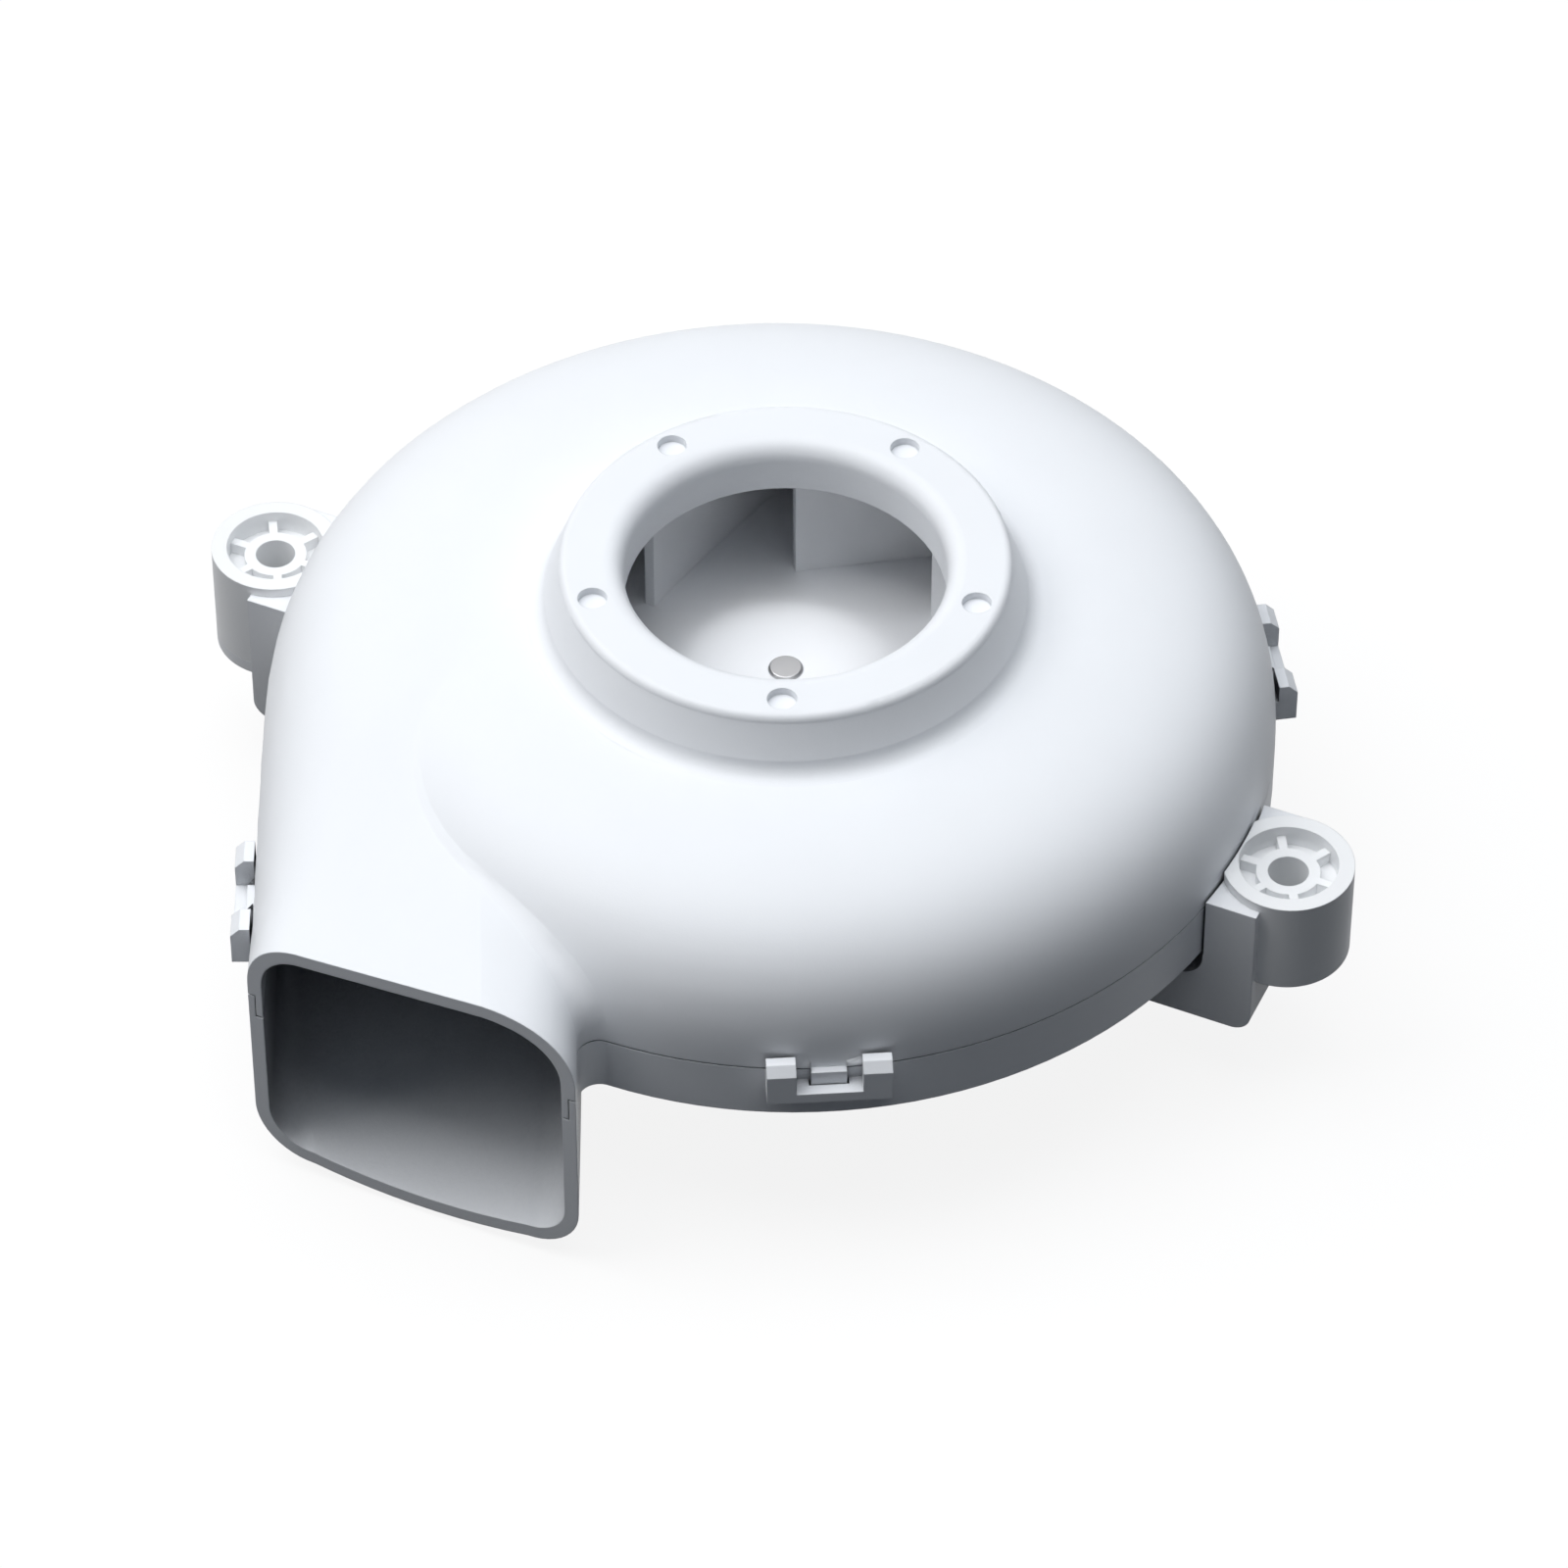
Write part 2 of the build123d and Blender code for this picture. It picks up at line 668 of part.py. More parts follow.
# Rotor: a steel cup pressed on the shaft, lined with the magnet ring
magnet_inner_radius = stator_radius + air_gap
magnet_outer_radius = magnet_inner_radius + magnet_thickness
cup_radius = magnet_outer_radius + cup_wall
magnet_bottom_height = coil_middle_height - magnet_height / 2
washer_bottom_height = upper_bearing_height + bearing_width
cup_boss_bottom = washer_bottom_height + washer_thickness
magnet_top_height = magnet_bottom_height + magnet_height
magnet = tube(magnet_inner_radius, magnet_outer_radius, magnet_bottom_height, magnet_top_height)
write(magnet, "rotor_magnet")
with BuildPart() as rotor_cup:
    with BuildSketch(Plane.XY.offset(magnet_bottom_height)):
        Circle(cup_radius)
    extrude(amount=cup_top_height - magnet_bottom_height)
    fillet(rotor_cup.edges().group_by(Axis.Z)[-1], radius=cup_wall)
    with BuildSketch(Plane.XY.offset(magnet_bottom_height)):
        Circle(magnet_outer_radius + press_gap)
    extrude(amount=cup_top_height - cup_wall - magnet_bottom_height, mode=Mode.SUBTRACT)
    with BuildSketch(Plane.XY.offset(cup_boss_bottom)):
        Circle(cup_boss_radius)
    extrude(amount=cup_top_height - cup_boss_bottom)
    with BuildSketch(Plane.XY.offset(cup_top_height - cup_wall)):
        with PolarLocations((stator_hub_radius + stator_radius) / 2, cup_hole_count):
            Circle(cup_hole_radius)
    extrude(amount=cup_wall, mode=Mode.SUBTRACT)
    with BuildSketch(Plane.XY.offset(cup_boss_bottom)):
        Circle(shaft_hole_radius)
    extrude(amount=cup_top_height - cup_boss_bottom, mode=Mode.SUBTRACT)
write(rotor_cup, "rotor_cup")
write(tube(shaft_hole_radius, inner_ring_radius, washer_bottom_height, cup_boss_bottom), "shaft_washer")

# Shaft: a ground pin with a groove for the retaining ring under the lower bearing
ring_top_height = lower_bearing_height - fit_gap
retainer_bottom_height = ring_top_height - retainer_thickness
groove_radius = shaft_radius - retainer_groove_depth
with BuildPart() as motor_shaft:
    with BuildSketch(Plane.XY.offset(shaft_bottom_height)):
        Circle(shaft_radius)
    extrude(amount=shaft_top_height - shaft_bottom_height)
    chamfer(motor_shaft.edges().filter_by(GeomType.CIRCLE), length=shaft_chamfer)
    with BuildSketch(Plane.XY.offset(retainer_bottom_height)):
        Circle(shaft_radius + shaft_chamfer)
        Circle(groove_radius, mode=Mode.SUBTRACT)
    extrude(amount=retainer_thickness, mode=Mode.SUBTRACT)
write(motor_shaft, "motor_shaft")
with BuildPart() as shaft_retainer:
    with BuildSketch(Plane.XY.offset(retainer_bottom_height)):
        Circle(retainer_radius)
        Circle(groove_radius + press_gap, mode=Mode.SUBTRACT)
        with Locations((retainer_radius / 2 + groove_radius / 2, 0)):
            Rectangle(retainer_radius, groove_radius, mode=Mode.SUBTRACT)
    extrude(amount=retainer_thickness)
write(shaft_retainer, "shaft_retainer")

# Circuit board on the base's posts, with its parts and the connector underneath
board_bottom_height = board_top_height - board_thickness
post_points = ring_points(standoff_circle_radius, 3, 90.0)
with BuildPart() as circuit_board:
    with BuildSketch(Plane.XY.offset(board_bottom_height)):
        Circle(board_radius)
        Circle(retainer_room, mode=Mode.SUBTRACT)
        with Locations(*post_points):
            Circle(small_screw_radius + screw_gap, mode=Mode.SUBTRACT)
    extrude(amount=board_thickness)
write(circuit_board, "circuit_board")
screws("board_screws", post_points, board_bottom_height, base_height - screw_sink,
       small_screw_radius, small_head_radius, small_head_height)
with BuildPart() as board_parts:
    for (x, y), (length, width), height in chips:
        with BuildSketch(Plane.XY.offset(board_bottom_height - height)):
            with Locations((x, y)):
                Rectangle(length, width)
        extrude(amount=height)
    for x, y in capacitor_points:
        with BuildSketch(Plane.XY.offset(board_bottom_height - capacitor_height)):
            with Locations((x, y)):
                Circle(capacitor_radius)
        extrude(amount=capacitor_height)
write(board_parts, "board_parts")
with BuildPart() as wire_connector:
    with BuildSketch(Plane.XY.offset(connector_bottom_height)):
        with Locations(connector_position):
            Rectangle(*connector_size)
    extrude(amount=board_bottom_height - connector_bottom_height)
    with BuildSketch(Plane.XY.offset(connector_bottom_height)):
        with Locations(connector_position):
            Rectangle(connector_size[0] - 2 * connector_wall, connector_size[1] - 2 * connector_wall)
    extrude(amount=board_bottom_height - connector_bottom_height - connector_wall, mode=Mode.SUBTRACT)
    with BuildSketch(Plane.XY.offset(board_bottom_height - connector_wall)):
        with Locations(connector_position):
            with GridLocations(pin_pitch, pin_pitch, pin_count, 1):
                Rectangle(pin_width + press_gap, pin_width + press_gap)
    extrude(amount=connector_wall, mode=Mode.SUBTRACT)
write(wire_connector, "wire_connector")
with BuildPart() as connector_pins:
    with BuildSketch(Plane.XY.offset(connector_bottom_height + connector_wall)):
        with Locations(connector_position):
            with GridLocations(pin_pitch, pin_pitch, pin_count, 1):
                Rectangle(pin_width, pin_width)
    extrude(amount=board_bottom_height - connector_bottom_height - connector_wall)
write(connector_pins, "connector_pins")

# Impeller: a dished plate with a tall hub and backward-leaning blades, moulded on a brass insert
insert_bottom_height = hub_bottom_height + fit_gap * 4
insert_top_height = insert_bottom_height + insert_height
with BuildPart() as impeller:
    with BuildSketch(Plane.XZ):
        with BuildLine():
            under_dish = dish_height - plate_thickness
            under_rim = rim_height - plate_thickness
            under_hub = hub_top_height - plate_thickness * 2
            bore = shaft_hole_radius
            Polyline((hub_radius, under_hub), (hub_radius, hub_bottom_height), (bore, hub_bottom_height),
                     (bore, hub_top_height), (hub_flat_radius, hub_top_height))
            Spline((hub_flat_radius, hub_top_height), (dish_radius, dish_height),
                   tangents=((1, 0), (1, -0.06)))
            Polyline((dish_radius, dish_height), (impeller_radius, rim_height),
                     (impeller_radius, under_rim), (dish_radius, under_dish))
            Spline((dish_radius, under_dish), (hub_radius, under_hub),
                   tangents=((-1, 0.06), (-1, 0.2)))
        make_face()
    revolve(axis=Axis.Z)
    for index in range(blade_count):
        entry = radians(blade_phase + outlet_skew + 360 / blade_count * index)
        tip = entry - radians(blade_sweep)
        slope = entry - radians(90 - blade_entry_angle)
        with BuildSketch(Plane.XY.offset(rim_height - fit_gap)):
            with BuildLine():
                TangentArc(
                    (blade_inner_radius * cos(entry), blade_inner_radius * sin(entry)),
                    (impeller_radius * cos(tip), impeller_radius * sin(tip)),
                    tangent=(cos(slope), sin(slope)),
                )
            trace(line_width=blade_thickness)
        extrude(amount=blade_top_height - rim_height + fit_gap)
    with BuildSketch(Plane.XZ):
        with BuildLine():
            beyond = impeller_radius + wall
            Polyline(
                (0, blade_top_height), (blade_top_turn_radius, blade_top_height),
                (impeller_radius, blade_tip_height), (beyond, blade_tip_height),
                (beyond, shell_top_height), (0, shell_top_height), close=True,
            )
        make_face()
    revolve(axis=Axis.Z, mode=Mode.SUBTRACT)
    with BuildSketch(Plane.XY.offset(hub_bottom_height)):
        Circle(impeller_radius + wall)
        Circle(impeller_radius, mode=Mode.SUBTRACT)
    extrude(amount=shell_top_height - hub_bottom_height, mode=Mode.SUBTRACT)
    with BuildSketch(Plane.XY.offset(hub_bottom_height)):
        Circle(insert_radius + press_gap)
    extrude(amount=insert_top_height - hub_bottom_height, mode=Mode.SUBTRACT)
write(impeller, "impeller")
write(tube(shaft_hole_radius, insert_radius, insert_bottom_height, insert_top_height), "impeller_insert")

# Ears: an arm with an upright cradle on each side, and a spoked bush that sits in the cradle
keep_clear = scroll_volume(-ear_gap, valley=0)
hub_span = bush_height - 2 * bush_recess
for side, sign, cradle_floor in (("right", 1, 0), ("left", -1, left_cradle_floor)):
    ear_x = ear_centre_x + sign * ear_spacing / 2
    inner_face = ear_x - sign * cradle_inner_reach
    outer_face = ear_x + sign * cradle_outer_reach
    arm_end = sign * arm_inner_radius
    cradle_top = bush_top_height - cradle_top_drop
    with BuildPart() as bracket:
        with BuildSketch(Plane.XZ.offset(-cradle_half_width)):
            with BuildLine():
                Polyline(
                    (inner_face, cradle_top), (outer_face, cradle_top), (outer_face, arm_bottom_height),
                    (arm_end, arm_bottom_height), (arm_end, arm_top_height), (inner_face, arm_top_height),
                    close=True,
                )
            make_face()
        extrude(amount=2 * cradle_half_width)
        lengthwise = bracket.edges().filter_by(Axis.Y)
        crook = lengthwise.sort_by_distance((inner_face, 0, arm_top_height))[0]
        heel = lengthwise.sort_by_distance((outer_face, 0, arm_bottom_height))[0]
        fillet(crook, radius=crook_round)
        fillet(heel, radius=cradle_round)
        if cradle_floor:
            with BuildSketch(Plane.XY.offset(bush_bottom_height - cradle_floor)):
                with Locations((ear_x, 0)):
                    Circle(bush_radius)
            extrude(amount=cradle_floor)
        with BuildSketch(Plane.XY.offset(bush_bottom_height)):
            with Locations((ear_x, 0)):
                Circle(bush_radius + press_gap)
        extrude(amount=bush_height, mode=Mode.SUBTRACT)
        with BuildSketch(Plane.XY.offset(arm_bottom_height)):
            with Locations((ear_x, 0)):
                Circle(bush_hole_radius)
        extrude(amount=bush_height, mode=Mode.SUBTRACT)
        points = [(sign * arm_screw_reach, arm_screw_offset), (sign * arm_screw_reach, -arm_screw_offset)]
        with BuildSketch(Plane.XY.offset(arm_bottom_height)):
            with Locations(*points):
                Circle(screw_head_radius + screw_sink)
        extrude(amount=screw_head_height + screw_sink, mode=Mode.SUBTRACT)
        with BuildSketch(Plane.XY.offset(arm_bottom_height)):
            with Locations(*points):
                Circle(screw_radius + screw_gap)
        extrude(amount=arm_top_height - arm_bottom_height, mode=Mode.SUBTRACT)
        add(keep_clear, mode=Mode.SUBTRACT)
    write(bracket, f"{side}_bracket")
    with BuildPart() as bush:
        with BuildSketch(Plane.XY.offset(bush_bottom_height)):
            with Locations((ear_x, 0)):
                Circle(bush_radius)
                Circle(bush_radius - bush_wall, mode=Mode.SUBTRACT)
        extrude(amount=bush_height)
        with BuildSketch(Plane.XY.offset(bush_bottom_height + bush_recess)):
            with Locations((ear_x, 0)):
                Circle(bush_hub_radius)
                with PolarLocations((bush_radius - bush_wall + bush_hub_radius) / 2, spoke_count):
                    Rectangle(bush_radius - bush_wall - bush_hub_radius + 1.0, spoke_width)
        extrude(amount=hub_span)
        with BuildSketch(Plane.XY.offset(bush_bottom_height + (bush_height - bush_web) / 2)):
            with Locations((ear_x, 0)):
                Circle(bush_radius - bush_wall / 2)
        extrude(amount=bush_web)
        with BuildSketch(Plane.XY.offset(bush_bottom_height)):
            with Locations((ear_x, 0)):
                Circle(bush_hole_radius)
        extrude(amount=bush_height, mode=Mode.SUBTRACT)
        add(keep_clear, mode=Mode.SUBTRACT)
    write(bush, f"{side}_bush")
screws("bracket_screws", arm_points, arm_bottom_height + screw_head_height + screw_sink,
       floor_height + fit_gap, screw_radius, screw_head_radius, screw_head_height)
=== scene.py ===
"""Looks of a vacuum cleaner's centrifugal blower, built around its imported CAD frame.

Metres throughout, and a size in millimetres is multiplied by MM. The impeller's axis is Z, the
blower stands on its motor cover at z = 0, and the outlet faces -Y. The sections follow the blower
as it is put together.
"""
import math

import bmesh
import bpy
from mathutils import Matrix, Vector
from mathutils.geometry import tessellate_polygon


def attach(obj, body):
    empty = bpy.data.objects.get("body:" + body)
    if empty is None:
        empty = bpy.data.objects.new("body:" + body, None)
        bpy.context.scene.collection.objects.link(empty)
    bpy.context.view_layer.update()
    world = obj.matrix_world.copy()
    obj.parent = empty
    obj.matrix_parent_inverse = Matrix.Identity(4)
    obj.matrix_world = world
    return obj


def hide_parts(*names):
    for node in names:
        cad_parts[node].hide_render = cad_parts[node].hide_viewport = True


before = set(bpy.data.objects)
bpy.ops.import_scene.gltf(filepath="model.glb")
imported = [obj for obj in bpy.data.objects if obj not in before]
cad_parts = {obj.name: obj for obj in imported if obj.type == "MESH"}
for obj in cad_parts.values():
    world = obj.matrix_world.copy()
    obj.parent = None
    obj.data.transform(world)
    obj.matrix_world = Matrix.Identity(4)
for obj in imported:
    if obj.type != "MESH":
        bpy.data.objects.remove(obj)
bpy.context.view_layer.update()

# Studio: the camera stands where the photograph was taken, 24 degrees round from the outlet's side
# and 44 degrees above the table, with a long lens aimed a little below the inlet's collar. A large
# softbox hangs overhead, smaller ones stand around, and a sweep of white paper is the floor.
TURN = math.radians(24.0)
LIFT = math.radians(43.6)
REACH = 1.1113
COLLAR = Vector((0.0, 0.0, 0.0665))
PHOTO_WIDTH = 1600
COLLAR_ABOVE = 231.2
COLLAR_RIGHT = 1.7
LENS = 180.0
FILM = 36.0

focus = PHOTO_WIDTH * LENS / FILM
tilt = LIFT + math.atan(COLLAR_ABOVE / focus)
stand = REACH / math.cos(tilt - LIFT)
across = Vector((math.cos(TURN), math.sin(TURN), 0.0))
away = Vector((-math.sin(TURN), math.cos(TURN), 0.0))
lens = bpy.data.cameras.new("camera")
lens.lens = LENS
lens.sensor_width = FILM
lens.clip_start = 0.1
camera = bpy.data.objects.new("camera", lens)
bpy.context.collection.objects.link(camera)
camera.location = COLLAR - away * (stand * math.cos(LIFT)) + Vector((0, 0, stand * math.sin(LIFT)))
camera.location -= across * (COLLAR_RIGHT / focus * REACH)
camera.rotation_euler = (math.radians(90) - tilt, 0.0, TURN)
bpy.context.scene.camera = camera
bpy.context.scene.view_settings.view_transform = "Standard"

LAMP_AIM = Vector((0.0, 0.0, 0.03))
WHITE = (1.0, 1.0, 1.0, 1.0)


def softbox(name, size, power, place, tint=WHITE[:3]):
    """A square lamp that faces the blower, placed to the right of it, behind and above."""
    light = bpy.data.lights.new(name, "AREA")
    light.shape = "SQUARE"
    light.size = size
    light.energy = power
    light.color = tint
    box = bpy.data.objects.new(name, light)
    bpy.context.collection.objects.link(box)
    right, back, height = place
    spot = across * right + away * back + Vector((0, 0, height))
    box.location = spot
    box.rotation_euler = (LAMP_AIM - spot).to_track_quat("-Z", "Y").to_euler()


softbox("overhead_softbox", 0.9, 6.8, (0.0, 0.0, 1.1), (0.965, 0.975, 0.99))
softbox("left_softbox", 0.7, 5.2, (-0.6, 0.0, 0.95), (0.985, 0.985, 0.985))
softbox("low_left_softbox", 0.6, 1.2, (-1.1, 0.1, 0.5))
softbox("back_left_softbox", 0.6, 1.0, (-0.6, 0.5, 0.8))
softbox("back_right_softbox", 0.7, 1.7, (0.6, 0.5, 0.8), (0.88, 0.94, 1.0))
softbox("front_softbox", 0.7, 0.5, (0.1, -0.5, 1.0), (0.8, 0.9, 1.0))


def add_node(tree, kind, **settings):
    """A node of a material with its own settings and socket values."""
    node = tree.nodes.new("ShaderNode" + kind)
    for key, value in settings.items():
        if key in node.inputs:
            node.inputs[key].default_value = value
        else:
            setattr(node, key, value)
    return node


def link(tree, start, output, end, socket):
    """Joins two nodes of a material by the names or numbers of their sockets."""
    tree.links.new(start.outputs[output], end.inputs[socket])


def seen_rays(tree):
    """A node that is 1 where a camera, a mirror or a window looks, and 0 for light that spreads."""
    path = add_node(tree, "LightPath")
    first = add_node(tree, "Math", operation="MAXIMUM")
    link(tree, path, "Is Camera Ray", first, 0)
    link(tree, path, "Is Glossy Ray", first, 1)
    both = add_node(tree, "Math", operation="MAXIMUM")
    link(tree, first, 0, both, 0)
    link(tree, path, "Is Transmission Ray", both, 1)
    return both


ROOM_TINT = (0.6, 0.76, 1.0, 1.0)
ROOM_STRENGTH = 0.03
world = bpy.data.worlds.new("studio")
bpy.context.scene.world = world
world.use_nodes = True
room = world.node_tree
dim = room.nodes["Background"]
dim.inputs["Color"].default_value = ROOM_TINT
dim.inputs["Strength"].default_value = ROOM_STRENGTH
bright = add_node(room, "Background", Color=WHITE, Strength=1.0)
choice = add_node(room, "MixShader")
link(room, seen_rays(room), 0, choice, 0)
link(room, dim, 0, choice, 1)
link(room, bright, 0, choice, 2)
link(room, choice, 0, room.nodes["World Output"], "Surface")

# The paper glows for rays that are seen, which keeps it white, and is dark for light that spreads,
# so that it throws little back. A colour mix takes its colours at sockets 6 and 7 and gives its
# result at socket 2.
PAPER_REACH = 3.0
PAPER_GLOW = 0.88
PAPER_SHADOW = (0.14, 0.14, 0.14, 1.0)
PAPER_BOUNCE = (0.035, 0.04, 0.05, 1.0)
MIX_FIRST, MIX_SECOND, MIX_RESULT = 6, 7, 2
sheet = bpy.data.meshes.new("paper_floor")
corners = [(x, y, 0) for x, y in ((-1, -1), (1, -1), (1, 1), (-1, 1))]
sheet.from_pydata([Vector(corner) * PAPER_REACH for corner in corners], [], [(0, 1, 2, 3)])
floor = bpy.data.objects.new("paper_floor", sheet)
bpy.context.collection.objects.link(floor)
paper = bpy.data.materials.new("white_paper")
paper.use_nodes = True
sheet.materials.append(paper)
fibre = paper.node_tree
sweep = fibre.nodes["Principled BSDF"]
sweep.inputs["Roughness"].default_value = 1.0
sweep.inputs["Specular IOR Level"].default_value = 0.0
sweep.inputs["Emission Color"].default_value = WHITE
seen = seen_rays(fibre)
glow = add_node(fibre, "Math", operation="MULTIPLY")
glow.inputs[1].default_value = PAPER_GLOW
link(fibre, seen, 0, glow, 0)
link(fibre, glow, 0, sweep, "Emission Strength")
shade = add_node(fibre, "Mix", data_type="RGBA")
shade.inputs[MIX_FIRST].default_value = PAPER_BOUNCE
shade.inputs[MIX_SECOND].default_value = PAPER_SHADOW
link(fibre, seen, 0, shade, 0)
link(fibre, shade, MIX_RESULT, sweep, "Base Color")

# Lower shell: the bottom of the scroll and its duct, with the motor's well under the floor. It is
# one moulding of bright white plastic, satin outside, with snap brackets along its rim.
MM = 0.001
HOUSING_WHITE = (0.88, 0.9, 0.93)
# Painted shade: how far its occlusion looks in millimetres, its near-black tone, and the open sky
# at or below which it is full.
PAINTED_SHADE_REACH = 100.0
PAINTED_SHADE_TONE = (0.03, 0.033, 0.045, 1.0)
PAINTED_SHADE_FULL = 0.13
LOWER_PAINTED_SHADE = 0.36
UNDER_START = -0.4
UNDER_FULL = -0.7
WELL_TOP = 24.5
WELL_REACH = 50.0
CLOUD_SIZE = 12.5
GLOSS_DRIFT = 0.1


def under_or_well(tree):
    """A node that is 1 on faces that look down and on the motor's well, and 0 elsewhere."""
    facing = add_node(tree, "NewGeometry")
    parts = add_node(tree, "SeparateXYZ")
    link(tree, facing, "Normal", parts, "Vector")
    under = add_node(tree, "MapRange")
    under.inputs["From Min"].default_value = UNDER_START
    under.inputs["From Max"].default_value = UNDER_FULL
    link(tree, parts, "Z", under, "Value")
    where = add_node(tree, "TexCoord")
    place = add_node(tree, "SeparateXYZ")
    link(tree, where, "Object", place, "Vector")
    low = add_node(tree, "Math", operation="LESS_THAN")
    low.inputs[1].default_value = WELL_TOP * MM
    link(tree, place, "Z", low, 0)
    level = add_node(tree, "VectorMath", operation="MULTIPLY")
    level.inputs[1].default_value = (1.0, 1.0, 0.0)
    link(tree, where, "Object", level, 0)
    out = add_node(tree, "VectorMath", operation="LENGTH")
    link(tree, level, "Vector", out, 0)
    central = add_node(tree, "Math", operation="LESS_THAN")
    central.inputs[1].default_value = WELL_REACH * MM
    link(tree, out, "Value", central, 0)
    well = add_node(tree, "Math", operation="MULTIPLY")
    link(tree, low, 0, well, 0)
    link(tree, central, 0, well, 1)
    either = add_node(tree, "Math", operation="MAXIMUM")
    link(tree, under, "Result", either, 0)
    link(tree, well, 0, either, 1)
    return either


def paint_shade_in_hollows(tree, tone, shader, share):
    """Paints shade into the colour of a surface deep in a cavity, where little light reaches.

    share is how much open sky a spot needs to keep its own colour. Faces that look down are left
    as they are, and so is the outside of the motor's well.
    """
    open_sky = add_node(tree, "AmbientOcclusion", samples=6, Distance=PAINTED_SHADE_REACH * MM)
    amount = add_node(tree, "MapRange")
    amount.inputs["From Min"].default_value = PAINTED_SHADE_FULL
    amount.inputs["From Max"].default_value = share
    link(tree, open_sky, "AO", amount, "Value")
    light = add_node(tree, "Math", operation="MAXIMUM")
    link(tree, amount, "Result", light, 0)
    link(tree, under_or_well(tree), 0, light, 1)
    mix = add_node(tree, "Mix", data_type="RGBA")
    mix.inputs[MIX_FIRST].default_value = PAINTED_SHADE_TONE
    link(tree, light, 0, mix, 0)
    link(tree, tone, MIX_RESULT, mix, MIX_SECOND)
    link(tree, mix, MIX_RESULT, shader, "Base Color")


def finish(name, colour, roughness, grain=0.25, depth=0.01, drift=0.03, edge=0.25, painted_shade=0,
           **sockets):
    """A surface with a fine grain, a slight drift of tone and gloss, softened edges and, where
    asked, painted shade in cavities.

    grain is the size of the grain and edge the radius of the edges, in millimetres; depth is how
    deep the grain is; drift is the share by which the tone wanders; painted_shade is the share of
    open sky below which shade is painted into the colour.
    """
    material = bpy.data.materials.new(name)
    material.use_nodes = True
    tree = material.node_tree
    shader = tree.nodes["Principled BSDF"]
    for socket, value in sockets.items():
        shader.inputs[socket.replace("_", " ")].default_value = value
    where = add_node(tree, "TexCoord")
    cloud = add_node(tree, "TexNoise", Scale=1 / (CLOUD_SIZE * MM), Detail=3.0)
    link(tree, where, "Object", cloud, "Vector")
    tone = add_node(tree, "Mix", data_type="RGBA")
    tone.inputs[MIX_FIRST].default_value = (*[part * (1 - drift) for part in colour], 1.0)
    tone.inputs[MIX_SECOND].default_value = (*colour, 1.0)
    link(tree, cloud, "Fac", tone, 0)
    if painted_shade:
        paint_shade_in_hollows(tree, tone, shader, painted_shade)
    else:
        link(tree, tone, MIX_RESULT, shader, "Base Color")
    gloss = add_node(tree, "MapRange")
    gloss.inputs["To Min"].default_value = roughness * (1 - GLOSS_DRIFT)
    gloss.inputs["To Max"].default_value = roughness * (1 + GLOSS_DRIFT)
    link(tree, cloud, "Fac", gloss, "Value")
    link(tree, gloss, "Result", shader, "Roughness")
    speck = add_node(tree, "TexNoise", Scale=1 / (grain * MM), Detail=2.0)
    link(tree, where, "Object", speck, "Vector")
    relief = add_node(tree, "Bump", Strength=1.0, Distance=depth * MM)
    link(tree, speck, "Fac", relief, "Height")
    if edge:
        soft = add_node(tree, "Bevel", samples=4, Radius=edge * MM)
        link(tree, soft, "Normal", relief, "Normal")
    link(tree, relief, "Normal", shader, "Normal")
    return material


def wear(material, *names):
    """Gives a finish to carried-over pieces of the CAD frame."""
    for name in names:
        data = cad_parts[name].data
        data.materials.clear()
        data.materials.append(material)


# The lower shell's colour has shade painted into it deep inside the scroll and the duct.
lower_plastic = finish("lower_plastic", HOUSING_WHITE, 0.45, painted_shade=LOWER_PAINTED_SHADE,
                       Specular_IOR_Level=0.3)
wear(lower_plastic, "bottom_shell")

# Motor base: a die-cast plate screwed under the floor, with the tube that holds two ball bearings
# of ground steel and the spacer between them.
cast_aluminium = finish("cast_aluminium", (0.66, 0.67, 0.68), 0.42, grain=0.5, depth=0.03,
                        Metallic=1.0)
bearing_steel = finish("bearing_steel", (0.6, 0.6, 0.61), 0.25, depth=0.002, edge=0.1,
                       Metallic=1.0)
turned_aluminium = finish("turned_aluminium", (0.74, 0.75, 0.76), 0.3, grain=0.15, Metallic=1.0)
wear(cast_aluminium, "motor_base")
wear(bearing_steel, "lower_bearing_outer_ring", "upper_bearing_outer_ring",
     "lower_bearing_inner_ring", "upper_bearing_inner_ring")
wear(turned_aluminium, "bearing_spacer")

# Stator: stacked sheets of electrical steel with nylon caps, and enamelled copper wire wound on
# each of the nine teeth. A wave texture makes WAVE_RATE / (2 pi) waves per metre at scale 1.
SHEET_PITCH = 0.5
WIRE_PITCH = 0.4
GROOVE_DEPTH = 0.2
WAVE_RATE = 20.0


def layer(material, pitch, direction):
    """Adds fine grooves to a finish: flat sheets along Z, or turns of wire at each radius."""
    tree = material.node_tree
    where = add_node(tree, "TexCoord")
    kind = {"wave_type": "BANDS", "bands_direction": "Z"}
    if direction == "radius":
        kind = {"wave_type": "RINGS", "rings_direction": "Z"}
    groove = add_node(tree, "TexWave", Scale=2 * math.pi / (WAVE_RATE * pitch * MM), **kind)
    link(tree, where, "Object", groove, "Vector")
    cut = add_node(tree, "Bump", Strength=1.0, Distance=GROOVE_DEPTH * pitch * MM)
    link(tree, groove, "Fac", cut, "Height")
    link(tree, tree.nodes["Bump"], "Normal", cut, "Normal")
    link(tree, cut, "Normal", tree.nodes["Principled BSDF"], "Normal")


